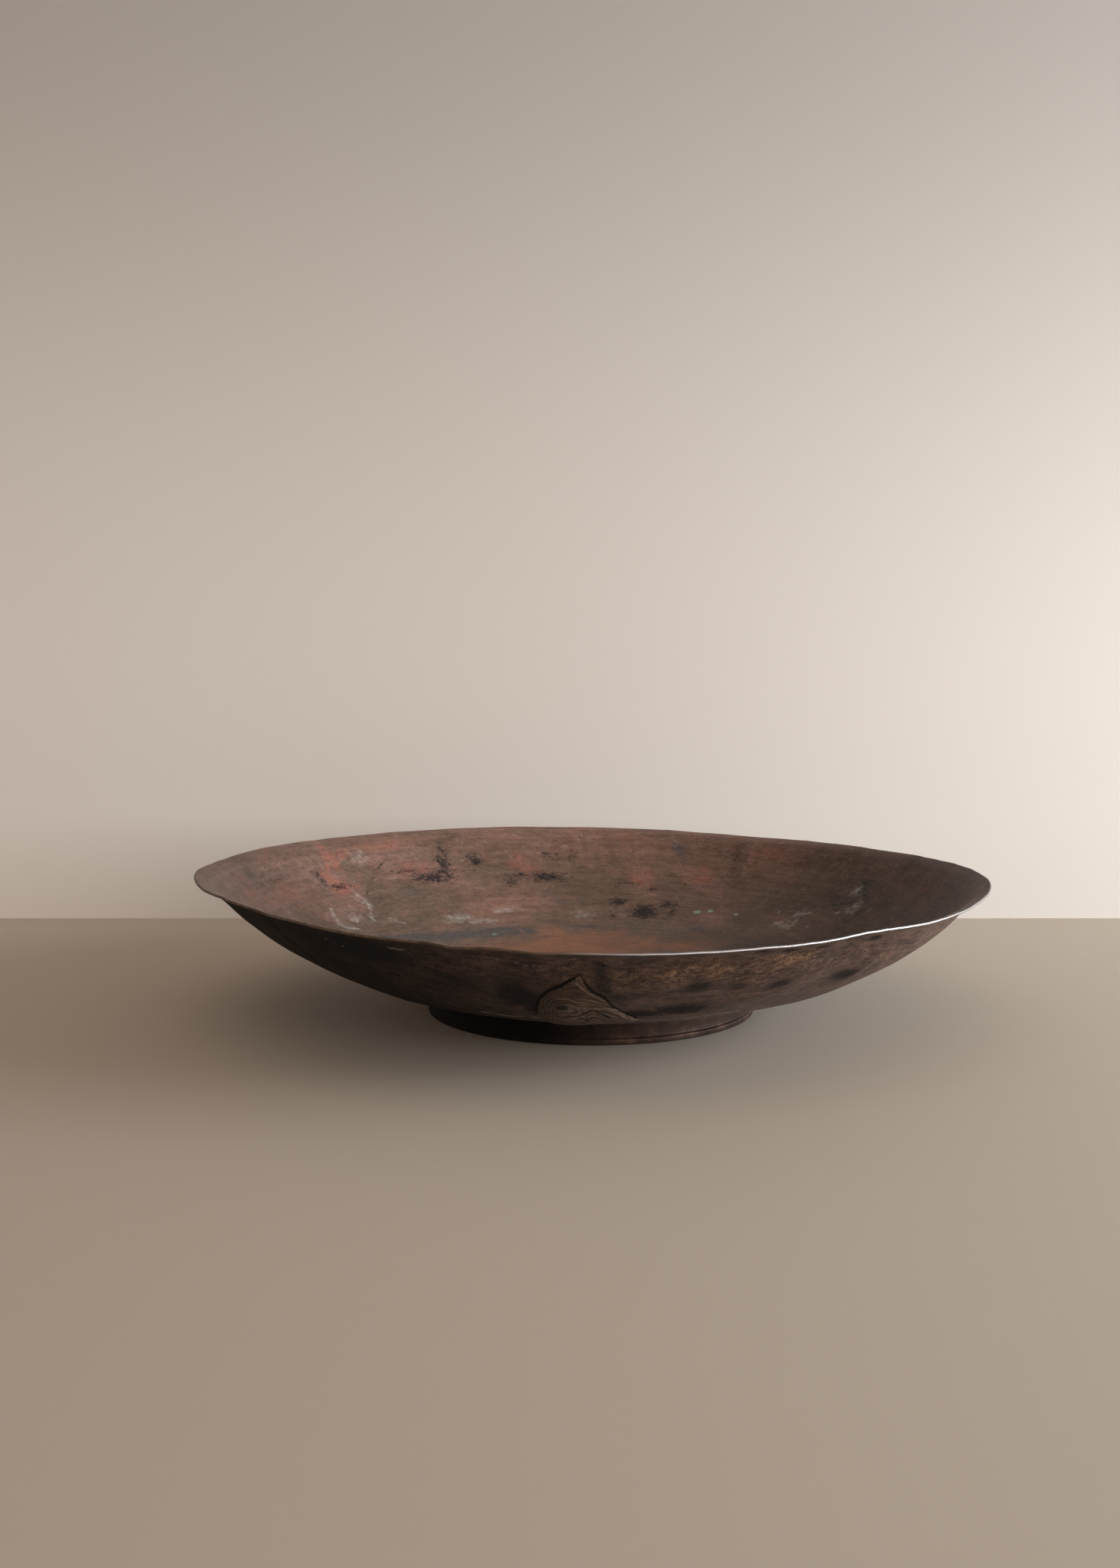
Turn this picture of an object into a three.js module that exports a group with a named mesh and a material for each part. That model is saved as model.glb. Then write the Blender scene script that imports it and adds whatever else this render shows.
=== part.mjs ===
// A shallow footed bowl, raised by hand from one sheet of copper.
//
// The bowl stands on a strip of copper bent to a ring and soldered under its floor, and a leaf-shaped plate is
// lapped over an old flaw low on its front wall. Units are millimetres, +Z is up, and the origin is on the floor
// under the centre of the foot. The front is -Y.

import * as THREE from 'three';
import { mergeVertices } from 'three/addons/utils/BufferGeometryUtils.js';

// Driving dimensions.
const RIM_RADIUS = 225;
const RIM_HEIGHT = 77.6;
const SHEET = 1.3;
const FOOT_RADIUS = 94.5;
const FOOT_HEIGHT = 15.3;
const FOOT_STRIP = 1.6;
const FOOT_BEAD = 1.2;
const FOOT_BEAD_HEIGHT = 3.2;
const SOLDER_LEG = 3.6;
const GAP = 0.3;

// The foot's two faces and its top, which stops just short of the bowl's floor.
const FOOT_OUTSIDE = FOOT_RADIUS - FOOT_BEAD;
const FOOT_INSIDE = FOOT_OUTSIDE - FOOT_STRIP;
const FOOT_TOP = FOOT_HEIGHT - GAP;

// Steps of the meshes.
const STEPS_ROUND = 96;
const STEPS_UP_WALL = 24;
const STEPS_PATCH_ACROSS = 14;
const STEPS_PATCH_UP = 10;

// The wall's outer surface from the middle of the floor to the rim, as (radius, height).
// It leaves the flat floor just outside the foot, steepens towards the rim and ends in a turned-out lip.
const WALL = new THREE.SplineCurve(
  [
    [0, FOOT_HEIGHT],
    [32, FOOT_HEIGHT],
    [64, FOOT_HEIGHT],
    [FOOT_RADIUS, FOOT_HEIGHT + 0.3],
    [112, 16.8],
    [130, 21],
    [150, 27.7],
    [170, 37.4],
    [188, 48],
    [203, 60],
    [213, 70.3],
    [219, 75.2],
    [RIM_RADIUS, RIM_HEIGHT],
  ].map(([radius, height]) => new THREE.Vector2(radius, height)),
);
const WALL_LENGTH = WALL.getLength();

// The rim rises and falls in long waves as it goes round.
const RIM_WAVES = [
  { count: 1, height: 2.3, peakAt: 177 },
  { count: 2, height: 1.8, peakAt: -5 },
  { count: 3, height: 1.3, peakAt: -23 },
];

// Knocks and straightened places on the rim: where each one is, how wide it is and how far it lifts the rim.
const RIM_BENDS = [
  { at: 62, width: 9, lift: -0.5 },
  { at: 172, width: 9, lift: -1.0 },
  { at: 190, width: 9, lift: 0.9 },
  { at: 214, width: 9, lift: 1.2 },
  { at: 241, width: 6, lift: -0.9 },
  { at: 252.5, width: 2.5, lift: -1.1 },
  { at: 262.5, width: 3.2, lift: -0.9 },
  { at: 281, width: 11, lift: -0.5 },
  { at: 306, width: 6, lift: 0.9 },
  { at: 323, width: 11, lift: -1.2 },
];

// The hammered wall sits a little to the right of the foot and the rim.
const WALL_SHIFT = 1.8;

// The patch: its thickness, and its upper and lower edges as (distance to the right of the middle, distance
// along the wall from the middle of the floor).
const PATCH_THICKNESS = 0.9;
const PATCH_UPPER_EDGE = [
  [-31, 176],
  [-30, 188],
  [-27, 202],
  [-19, 213],
  [-10, 220],
  [-6, 209],
  [2, 199],
  [8, 182],
  [18.5, 164],
];
const PATCH_LOWER_EDGE = [
  [-31, 168],
  [-28, 152],
  [-20, 141],
  [-8, 139],
  [2, 148],
  [10, 154],
  [18.5, 161],
];

// Colours of the worn metals.
const DARK_COPPER = 0x6a4636;
const FOOT_COPPER = 0x4e3026;
const PATCH_COPPER = 0x5d4030;
const OLD_SOLDER = 0x77706a;

// A smooth step from 0 at `from` to 1 at `to`.
function ease(value, from, to) {
  return THREE.MathUtils.smoothstep(value, from, to);
}

// How far the rim is lifted at an angle round the bowl, in radians from +X towards +Y.
function rimLift(angle) {
  let lift = 0;
  for (const wave of RIM_WAVES) {
    lift += wave.height * Math.cos(wave.count * (angle - THREE.MathUtils.degToRad(wave.peakAt)));
  }
  for (const bend of RIM_BENDS) {
    const turned = THREE.MathUtils.radToDeg(angle) - bend.at;
    const away = THREE.MathUtils.euclideanModulo(turned + 180, 360) - 180;
    lift += bend.lift * Math.exp(-((away / bend.width) ** 2));
  }
  return lift;
}

// Gives a turned shape the unevenness of the hand-formed bowl: the wall follows the rim up and down, more and
// more towards the rim, and bellies to one side between foot and rim.
function formByHand(geometry) {
  const place = geometry.attributes.position;
  for (let i = 0; i < place.count; i += 1) {
    const x = place.getX(i);
    const y = place.getY(i);
    const radius = Math.hypot(x, y);
    const follow = ease(radius, FOOT_RADIUS, RIM_RADIUS);
    const belly = ease(radius, FOOT_RADIUS, 150) * (1 - ease(radius, 195, RIM_RADIUS));
    place.setX(i, x + WALL_SHIFT * belly);
    place.setZ(i, place.getZ(i) + rimLift(Math.atan2(y, x)) * follow);
  }
  return geometry;
}

// Turns a closed outline of (radius, height) points about the vertical axis.
function turn(points) {
  const geometry = new THREE.LatheGeometry(points, STEPS_ROUND);
  geometry.rotateX(Math.PI / 2);
  return geometry;
}

// Joins the vertices that share a place, so that the faces make one closed skin.
function closeSkin(geometry) {
  const bare = geometry.clone();
  bare.deleteAttribute('normal');
  bare.deleteAttribute('uv');
  const closed = mergeVertices(bare, 1e-4);
  closed.computeVertexNormals();
  return closed;
}

// A point on the wall at a distance along it from the middle, moved out of the outer surface by `out`.
function wallPoint(along, out) {
  const share = THREE.MathUtils.clamp(along / WALL_LENGTH, 0, 1);
  const point = WALL.getPointAt(share);
  const tangent = WALL.getTangentAt(share);
  return new THREE.Vector2(point.x + tangent.y * out, point.y - tangent.x * out);
}

// The bowl: one sheet of even thickness, with a rounded edge at the rim.
function bowlBody() {
  const outer = [];
  const inner = [];
  for (let i = 0; i <= STEPS_UP_WALL; i += 1) {
    const along = (WALL_LENGTH * i) / STEPS_UP_WALL;
    outer.push(wallPoint(along, 0));
    inner.push(wallPoint(along, -SHEET));
  }
  outer[0].x = 0;
  inner[0].x = 0;
  const edge = wallPoint(WALL_LENGTH, -SHEET / 2);
  edge.x += SHEET / 3;
  return formByHand(turn([...outer, edge, ...inner.reverse()]));
}

// The foot: a bent strip with its lower edge hemmed into a low bead that stands on the floor.
function footRing() {
  return turn(
    [
      [FOOT_INSIDE, 0.4],
      [FOOT_INSIDE + 0.4, 0],
      [FOOT_RADIUS - 0.5, 0],
      [FOOT_RADIUS, 0.6],
      [FOOT_RADIUS, FOOT_BEAD_HEIGHT - 0.9],
      [FOOT_RADIUS - 0.4, FOOT_BEAD_HEIGHT],
      [FOOT_OUTSIDE, FOOT_BEAD_HEIGHT + 0.5],
      [FOOT_OUTSIDE, FOOT_TOP],
      [FOOT_INSIDE, FOOT_TOP],
      [FOOT_INSIDE, 0.4],
    ].map(([radius, height]) => new THREE.Vector2(radius, height)),
  );
}

// The solder: a hollow fillet run round the inside of the foot, against the bowl's floor. Its face is drawn
// in by two points that lie far along one leg and near the other.
function footSolder() {
  const wall = FOOT_INSIDE - GAP;
  const far = SOLDER_LEG * 0.52;
  const near = SOLDER_LEG * 0.17;
  return turn(
    [
      [wall, FOOT_TOP - SOLDER_LEG],
      [wall, FOOT_TOP],
      [wall - SOLDER_LEG, FOOT_TOP],
      [wall - far, FOOT_TOP - near],
      [wall - near, FOOT_TOP - far],
      [wall, FOOT_TOP - SOLDER_LEG],
    ].map(([radius, height]) => new THREE.Vector2(radius, height)),
  );
}

// How far along the wall a patch edge lies, at a distance across the patch.
function edgeAt(edge, across) {
  const last = edge.length - 1;
  const next = THREE.MathUtils.clamp(edge.findIndex(([place]) => place >= across), 1, last);
  const [fromPlace, fromAlong] = edge[next - 1];
  const [toPlace, toAlong] = edge[next];
  return THREE.MathUtils.mapLinear(across, fromPlace, toPlace, fromAlong, toAlong);
}

// The patch: a flat plate between its two edges, bent to lie on the wall.
function repairPatch() {
  const left = PATCH_UPPER_EDGE[0][0];
  const right = PATCH_UPPER_EDGE.at(-1)[0];
  const geometry = new THREE.BoxGeometry(1, 1, 1, STEPS_PATCH_ACROSS, STEPS_PATCH_UP, 1);
  const place = geometry.attributes.position;
  for (let i = 0; i < place.count; i += 1) {
    const across = THREE.MathUtils.lerp(left, right, place.getX(i) + 0.5);
    const low = edgeAt(PATCH_LOWER_EDGE, across);
    const high = edgeAt(PATCH_UPPER_EDGE, across);
    const along = THREE.MathUtils.lerp(low, high, place.getY(i) + 0.5);
    const out = GAP + PATCH_THICKNESS * (place.getZ(i) + 0.5);
    const { x: radius, y: height } = wallPoint(along, out);
    const angle = across / radius - Math.PI / 2;
    place.setXYZ(i, radius * Math.cos(angle), radius * Math.sin(angle), height);
  }
  return formByHand(geometry);
}

// A named piece of the bowl in its own metal.
function piece(name, geometry, color, roughness) {
  const material = new THREE.MeshStandardMaterial({ color, roughness, metalness: 1 });
  const mesh = new THREE.Mesh(closeSkin(geometry), material);
  mesh.name = name;
  return mesh;
}

const bowl = new THREE.Group();
bowl.add(piece('bowl_body', bowlBody(), DARK_COPPER, 0.55));
bowl.add(piece('foot_ring', footRing(), FOOT_COPPER, 0.6));
bowl.add(piece('foot_solder', footSolder(), OLD_SOLDER, 0.5));
bowl.add(piece('repair_patch', repairPatch(), PATCH_COPPER, 0.6));

export default bowl;
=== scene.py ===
import itertools
import math

import bpy
import numpy as np
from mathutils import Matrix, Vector


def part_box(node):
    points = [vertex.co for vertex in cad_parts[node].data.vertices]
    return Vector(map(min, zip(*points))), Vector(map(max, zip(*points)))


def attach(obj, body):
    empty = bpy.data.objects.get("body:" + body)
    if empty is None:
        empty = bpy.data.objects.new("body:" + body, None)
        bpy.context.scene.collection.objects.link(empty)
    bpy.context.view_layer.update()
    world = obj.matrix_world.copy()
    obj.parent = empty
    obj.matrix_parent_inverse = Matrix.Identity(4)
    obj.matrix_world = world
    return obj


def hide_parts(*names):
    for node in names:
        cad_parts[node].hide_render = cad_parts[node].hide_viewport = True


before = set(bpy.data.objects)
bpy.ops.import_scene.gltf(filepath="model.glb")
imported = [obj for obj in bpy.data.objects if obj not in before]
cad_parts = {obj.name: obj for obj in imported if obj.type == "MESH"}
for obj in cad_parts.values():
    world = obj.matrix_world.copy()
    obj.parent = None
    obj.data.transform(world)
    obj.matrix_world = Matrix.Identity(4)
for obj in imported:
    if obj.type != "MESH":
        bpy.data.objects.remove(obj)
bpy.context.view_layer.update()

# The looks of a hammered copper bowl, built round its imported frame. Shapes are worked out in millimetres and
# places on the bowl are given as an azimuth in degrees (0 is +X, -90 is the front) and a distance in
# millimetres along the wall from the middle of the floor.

MM = 0.001

# ---- Driving dimensions. The radii and the foot's height are read from the frame.

body_low, body_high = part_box("bowl_body")
foot_low, foot_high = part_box("foot_ring")
solder_low, solder_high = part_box("foot_solder")

SHEET = 1.3
EDGE_BULGE = 0.19
GAP = 0.3
WALL_RISE = 62.3
RIM_RADIUS = (body_high.x - body_low.x) / MM / 2 - EDGE_BULGE
FOOT_RADIUS = (foot_high.x - foot_low.x) / MM / 2
FOOT_HEIGHT = foot_high.z / MM + GAP
FOOT_BEAD = 1.2
FOOT_STRIP = 1.6
FOOT_CLEARANCE = 0.04
PATCH_THICKNESS = 0.9
PATCH_LIFT = 0.05
PATCH_THINNEST = 0.12

# The heights at which the foot's bead begins to turn in and at which it meets the strip, and the strip's
# lapped ends: their azimuth, the degrees over which the outer one rises, and how far it rises.
BEAD_HEIGHT = 2.9
HEM_HEIGHT = 3.6
FOOT_LAP = (104, 5, 0.8)

# How finely the meshes are cut: from the middle of the bowl and of the patch outwards, and round the rings.
BOWL_STEPS = 150
PATCH_STEPS = 90
FOOT_STEPS = 720
SOLDER_STEPS = 540

# How far the flat floor reaches from its middle.
FLAT_FLOOR = 100

# The wall's outer surface, as (radius, height).
WALL = [
    (0, FOOT_HEIGHT), (32, FOOT_HEIGHT), (64, FOOT_HEIGHT), (FOOT_RADIUS, FOOT_HEIGHT + 0.3), (112, 16.8),
    (130, 21), (150, 27.7), (170, 37.4), (188, 48), (203, 60), (213, 70.3), (219, 75.2),
    (RIM_RADIUS, FOOT_HEIGHT + WALL_RISE),
]

# The wall sits a little to the right of the foot and the rim, fully so between these radii.
WALL_SHIFT = 1.8
WALL_SHIFTED = (150, 195)

# Long waves of the rim: how many go round, their height and where one peaks.
RIM_WAVES = [(1, 2.3, 177), (2, 1.8, -5), (3, 1.3, -23)]

# Knocks and straightened places on the rim: azimuth, half width in degrees and lift.
RIM_BENDS = [
    (62, 9, -0.5), (172, 9, -1), (190, 9, 0.9), (214, 9, 1.2), (241, 6, -0.9), (252.5, 2.5, -1.1),
    (262.5, 3.2, -0.9), (281, 11, -0.5), (306, 6, 0.9), (323, 11, -1.2),
]

# Vertical creases pressed into the wall: azimuth, from and to along the wall, half width and depth.
CREASES = [
    (58, 200, 236, 3, 0.9), (61, 196, 230, 3.5, -0.6), (92, 208, 232, 3.5, 0.5),
    (97, 205, 228, 4, -0.4), (134, 190, 222, 4, 0.3), (-89, 196, 236, 4.5, -0.7),
    (-93, 205, 236, 4, 0.4), (39, 200, 226, 3, 0.35), (-140, 190, 236, 4, 0.5),
    (-48, 185, 236, 4.5, -0.4), (12, 170, 232, 4, 0.4),
]

# Hammer marks on each side of the sheet: their size, depth and seed.
INSIDE_HAMMER = (13, 0.12, 31)
OUTSIDE_HAMMER = (11, 0.2, 41)

# Unevenness, as noises added up: the height, size across and seed of each.
RIM_WOBBLE = [(0.22, 15, 5), (0.08, 6, 6)]
SHEET_DENTS = [(0.45, 52, 11), (0.22, 24, 12)]
FOOT_KNOCKS = [(0.22, 17, 51), (0.09, 5, 52)]
SOLDER_LUMPS = [(0.25, 14, 61), (0.14, 4, 62)]

# Flutes up the wall, as one noise: depth, lumps in a radian round the bowl, length up the wall and seed.
FLUTES = (0.16, 46, 60, 13)

# The rounded cut edge, as rows of (share of the sheet's thickness, reach past the wall's end, share of the
# edge's wear and painted highlight).
EDGE_ROWS = [(0.06, 0.22, 0.1), (0.25, 0.42, 0.7), (0.5, 0.48, 1), (0.75, 0.42, 0.6), (0.94, 0.22, 0.1)]

# How strongly that edge is worn and painted near-white as a highlight round the bowl: azimuth and share.
EDGE_WEAR_AND_HIGHLIGHT = [(-96, 0), (-86, 0.7), (-70, 1), (-52, 0.85), (-35, 0.55), (-18, 0.45), (-8, 0)]

# ---- Marks of age on the copper, and warm patches that are partly painted reflection and highlight. A spot is a soft oval: azimuth, distance along the wall, half width round
# the bowl, half height up the wall, and strength.

INSIDE_SPOTS = {
    "black": [
        (150, 210, 3, 7, 0.6), (147, 201, 8, 2.5, 0.6), (129, 206, 12, 2, 0.5), (124, 198, 15, 5, 0.85),
        (121, 201, 7, 4, 0.8), (120, 210, 4, 7, 0.85), (119, 221, 3, 8, 0.6), (113, 211, 5, 5, 0.7),
        (107, 190, 5, 4, 0.5), (99, 194, 11, 4, 0.85), (104, 196, 9, 2.5, 0.5), (98, 218, 5, 7, 0.45),
        (93, 213, 3, 5, 0.5), (81, 189, 7, 1.5, 0.6), (76, 182, 4, 2.5, 0.6), (83, 167, 5, 4, 0.65),
        (84, 149, 4, 4, 0.4), (76, 156, 8, 7, 0.95), (71, 166, 6, 5, 0.65), (69, 158, 3, 7, 0.6),
        (28, 209, 4, 8, 0.5), (33, 196, 12, 3, 0.4), (163, 217, 11, 2, 0.4),
    ],
    "red": [
        (144, 226, 5, 12, 0.9), (148, 209, 7, 9, 0.9), (147, 198, 9, 7, 0.9), (141, 226, 10, 5, 0.6),
        (164, 204, 17, 12, 0.55), (177, 206, 13, 10, 0.5), (150, 188, 9, 8, 0.45), (127, 207, 14, 6, 0.7),
        (103, 205, 11, 11, 0.7), (115, 163, 14, 8, 0.5), (79, 194, 9, 9, 0.9), (66, 200, 14, 9, 0.6),
        (53, 226, 14, 5, 0.5), (130, 230, 24, 4, 0.5), (-130, 190, 22, 18, 0.5), (-60, 205, 26, 14, 0.4),
        (-15, 190, 20, 12, 0.4),
    ],
    "pale": [
        (159, 170, 4, 7, 0.5), (152, 173, 7, 7, 0.45), (145, 183, 4, 10, 0.5), (143, 162, 6, 3, 0.5),
        (137, 222, 7, 6, 0.55), (125, 153, 11, 5, 0.75), (118, 147, 10, 4, 0.65), (111, 158, 10, 4, 0.65),
        (92, 150, 7, 6, 0.6), (29, 205, 5, 5, 0.65), (26, 190, 6, 7, 0.5), (37, 174, 5, 4, 0.6),
        (38, 159, 9, 6, 0.55), (-150, 204, 5, 3, 0.5), (-70, 168, 9, 3, 0.5), (-160, 225, 2, 8, 0.4),
    ],
    "blue": [
        (170, 224, 18, 10, 0.4), (142, 139, 16, 5, 0.8), (132, 133, 22, 6, 0.9), (119, 131, 20, 6, 1),
        (92, 134, 12, 4, 0.7), (60, 140, 14, 5, 0.5), (96, 170, 16, 7, 0.5), (72, 221, 6, 8, 0.6),
        (99, 219, 6, 6, 0.5), (131, 186, 10, 5, 0.5), (37, 222, 10, 5, 0.3), (-100, 150, 26, 8, 0.5),
    ],
    "green": [
        (63, 161, 2.6, 1.8, 1), (60, 164, 2, 1.6, 0.9), (53, 163, 1.8, 1.6, 0.8),
        (43, 172, 1.4, 1.2, 0.7), (119, 128, 2.4, 2, 0.6), (25, 192, 5, 5, 0.3),
    ],
    # Warm patches, partly worn copper and partly a painted reflection.
    "wear_and_reflection": [(95, 95, 66, 34, 1), (60, 108, 34, 16, 0.9)],
}
OUTSIDE_SPOTS = {
    "black": [
        (-131, 228, 16, 5, 0.9), (-123, 226, 24, 9, 1), (-136, 202, 15, 7, 0.9), (-102, 195, 10, 14, 1),
        (-100, 180, 7, 12, 0.9), (-110, 205, 20, 10, 0.5), (-84, 172, 14, 8, 0.8), (-77, 178, 14, 8, 1),
        (-70, 237, 4, 1.8, 0.8), (-66, 235, 5, 1.6, 0.9), (-61, 234, 4, 1.6, 0.8),
        (-52, 232, 5, 2.2, 0.9), (-77, 209, 7, 5, 0.8), (-71, 205, 8, 5, 0.6), (-64, 203, 7, 5, 0.75),
        (-51, 199, 10, 6, 0.9), (-90, 217, 5, 14, 0.55), (60, 200, 30, 10, 0.7), (130, 214, 24, 9, 0.8),
        (175, 190, 18, 14, 0.7), (20, 180, 20, 12, 0.6),
    ],
    # Gold-brown patches, partly rubbed copper and partly a painted highlight of light from the right front.
    "gold_and_highlight": [
        (-87, 215, 12, 8, 0.9), (-93, 220, 9, 10, 0.8), (-78, 219, 18, 12, 0.9), (-64, 228, 14, 7, 0.9),
        (-70, 214, 30, 14, 0.5), (-45, 215, 20, 12, 0.4), (100, 220, 30, 14, 0.5), (30, 215, 26, 14, 0.5),
    ],
    "pale": [
        (-114, 229, 14, 5, 0.35), (-103, 231, 10, 4, 0.35), (-98, 227, 4, 3.5, 0.5),
        (-93, 234, 3, 3, 0.45), (-86, 234, 2, 3, 0.4), (70, 220, 16, 7, 0.3), (160, 215, 14, 8, 0.3),
    ],
}

# A stroke is a drawn-out mark: half width, strength, and the places that its smooth line runs through, each
# an azimuth and a distance along the wall.
INSIDE_STROKES = {
    "pale": [
        (1.2, 1, [(156, 184), (158, 176), (159, 167), (156, 162)]),
        (1.1, 0.9, [(145, 193), (144, 183), (146, 174), (148, 165)]),
        (1, 0.8, [(152, 178), (152, 171), (154, 168), (154, 175)]), (1.2, 1, [(148, 171), (148, 165)]),
        (1, 0.7, [(143, 165), (143, 160), (141, 157)]), (0.8, 0.5, [(149, 190), (150, 183), (152, 178)]),
        (2.4, 0.9, [(127, 156), (122, 152)]), (1.6, 0.8, [(123, 147), (115, 146)]),
        (1.6, 0.8, [(114, 156), (110, 159)]), (1.5, 1, [(30, 202), (29, 208)]),
        (1, 0.6, [(26, 198), (24, 189), (29, 180)]), (1.6, 0.8, [(38, 172), (35, 176)]),
        (1.5, 0.7, [(41, 160), (36, 159), (36, 168)]), (1.3, 0.5, [(30, 158), (32, 166)]),
        (0.9, 0.35, [(24, 230), (24, 216)]), (2, 0.25, [(59, 232), (58, 208)]),
        (2.5, 0.2, [(73, 232), (72, 214)]), (0.9, 0.4, [(-118, 226), (-112, 205), (-113, 188)]),
    ],
    "black": [
        (0.5, 0.7, [(133, 215), (136, 208), (142, 188)]), (2, 0.4, [(151, 216), (150, 211), (151, 206)]),
        (1.6, 0.36, [(149, 203), (143, 199)]), (2, 0.6, [(30, 214), (25, 198)]),
        (1.6, 0.6, [(32, 188), (27, 193)]), (2.4, 0.3, [(61, 228), (60, 204)]),
        (1.8, 0.5, [(72, 169), (69, 158)]),
    ],
    "red": [
        (2.4, 1, [(144, 236), (146, 219), (147, 206), (143, 198)]),
        (2.2, 0.8, [(163, 211), (161, 206), (162, 201)]), (2, 0.7, [(173, 212), (170, 200)]),
        (2, 0.7, [(178, 209), (176, 203)]), (0.8, 0.6, [(140, 210), (141, 201)]),
    ],
    "blue": [(4.5, 0.9, [(152, 147), (138, 136), (125, 131), (113, 129)])],
}
OUTSIDE_STROKES = {
    "black": [
        (4.5, 0.55, [(-90, 232), (-90, 212), (-88, 199)]), (0.7, 1, [(-102, 163), (-100, 170)]),
        (0.7, 0.8, [(-102, 158), (-99, 152), (-96, 147)]),
        (0.5, 0.5, [(-153, 234), (-151, 222), (-151, 208)]), (0.5, 0.5, [(-146, 234), (-143, 200)]),
    ],
    "pale": [
        (0.5, 0.6, [(-156, 236), (-154, 224), (-154, 210)]), (0.5, 0.5, [(-149, 236), (-147, 206)]),
        (0.4, 0.8, [(-129, 227), (-126, 223)]), (0.4, 0.7, [(-101, 229), (-98, 225), (-96, 226)]),
        (1.8, 1, [(-83, 157), (-77, 153), (-71, 156), (-64, 160)]), (1.4, 0.7, [(-102, 161), (-96, 150)]),
        (2.2, 0.7, [(-112, 158), (-104, 157), (-97, 149)]), (0.5, 0.7, [(-118, 230), (-114, 229)]),
        (0.5, 0.6, [(-93, 234), (-93, 230)]), (0.5, 0.6, [(-90, 235), (-89, 231)]),
    ],
}

# The floor's warm disc, partly worn copper and partly a painted reflection: whole out to one distance from the
# middle, gone at another, and its strength.
FLOOR_WEAR_AND_REFLECTION = (60, 118, 0.75)

# Painted light and shade round the bowl, lighter and darker as the light from the right falls: azimuth, and a
# factor on the colour there. The floor has its own.
INSIDE_PAINTED_SHADING = [
    (-180, 0.68), (-90, 0.9), (0, 0.22), (20, 0.27), (45, 0.52), (70, 0.8), (95, 1), (125, 1.12),
    (145, 1), (165, 0.78),
]
OUTSIDE_PAINTED_SHADING = [
    (-180, 0.3), (-165, 0.08), (-125, 0.12), (-108, 0.36), (-92, 0.8), (-60, 1.2), (-30, 1.35), (0, 0.9),
    (140, 0.9),
]
# The foot's painted shade, darkest on its left where its shadow falls.
FOOT_PAINTED_SHADING = [(-180, 0.05), (-140, 0.01), (-110, 0.02), (-96, 0.12), (-75, 0.48), (-58, 0.4), (90, 0.6)]
FLOOR_PAINTED_SHADING = 0.85

# ---- The repair patch, in millimetres to the right of the front's middle and along the wall.

PATCH_MIDDLE = (-10, 176)
PATCH_OUTLINE = [
    (-10, 220), (-6, 209), (1, 201), (5, 189), (11, 176), (18, 163), (16, 159), (6, 155), (-4, 147),
    (-12, 141), (-20, 142), (-26, 150), (-31, 168), (-30, 192), (-26, 205), (-17, 214),
]

# The eye that the patch's ridges run round, with their reach left, right, up and down.
PATCH_EYE = (-19, 186)
PATCH_EYE_REACH = (8, 24, 15, 30)

# Lines worked into the patch: the upper edge of its lower tongue, the fold along its right edge, painted with
# a highlight, and the black tangle under the tongue. The spot is a small dark pit near its peak.
PATCH_TONGUE = [(-14, 192), (-6, 189), (3, 189), (9, 180), (18, 163)]
PATCH_FOLD = [(-12, 215), (-7, 207), (3, 197)]
PATCH_TANGLE = [
    [(-9, 173), (-4, 183), (-1, 177), (4, 168)], [(-10, 166), (-5, 159)], [(-2, 181), (4, 179)],
]
PATCH_SPOT = (-12, 211)

# ---- The camera and the room. Distances are in metres, the lens and its sensor in millimetres.

CAMERA_PLACE = (-0.018, -0.969, 0.221)
CAMERA_PITCH = 5.35
CAMERA_RANGE = (0.05, 50)
LENS = 38.67
SENSOR = 36
BACK_WALL = 0.296
ROOM = 5
HOLE_RADIUS = (FOOT_RADIUS - 5) * MM

FLOOR_COLOR = (0.43, 0.372, 0.315)
BACKDROP_COLOR = (0.73, 0.69, 0.655)

# The wall behind darkens upwards as painted shade, where the window's light falls off: from and to these
# heights in millimetres, to a share of its colour.
BACKDROP_PAINTED_SHADE = (150, 750, 0.56)

ROOM_COLOR = (0.7, 0.53, 0.4)
ROOM_STRENGTH = 0.45

# Soft lamps: name, place, what it faces, width and height, power and colour.
LAMPS = [
    ("window", (1.8, -0.22, 0.5), (0, 0.05, 0.08), (1.5, 0.9), 52, (0.91, 0.97, 1)),
    ("fill", (1.1, -2, 0.6), (0, 0, 0.1), (1.5, 1), 14, (1, 0.96, 0.92)),
    ("ceiling", (-0.4, -0.9, 2.4), (0, 0, 0), (2.4, 2.4), 7, (1, 0.86, 0.72)),
    ("low_left", (-1.9, -0.6, 0.4), (0, -0.1, 0), (1.4, 0.6), 5, (1, 0.88, 0.78)),
]


# ---- Numbers and noise.


def ease(value, start, end):
    """A smooth step from 0 at start to 1 at end."""
    share = np.clip((value - start) / (end - start), 0, 1)
    return share * share * (3 - 2 * share)


def turned(angle, middle):
    """How far an angle lies from a middle, in degrees from -180 to 180."""
    return (angle - middle + 180) % 360 - 180


def place_at(azimuth, radius, height):
    """The place at an azimuth, a distance from the axis and a height."""
    angle = np.radians(azimuth)
    return np.stack([radius * np.cos(angle), radius * np.sin(angle), height + 0 * angle], -1)


def lattice(cell, seed):
    """A random number from 0 to 1 that belongs to a whole-number place."""
    x, y, z = (cell[..., axis].astype(np.int64) for axis in range(3))
    mixed = x * 374761393 + y * 668265263 + z * 1440662683 + seed * 1274126177
    mixed = (mixed ^ (mixed >> 13)) * 1274126177
    mixed = mixed ^ (mixed >> 16)
    return (mixed & 0xFFFFFF) / 0xFFFFFF


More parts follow.
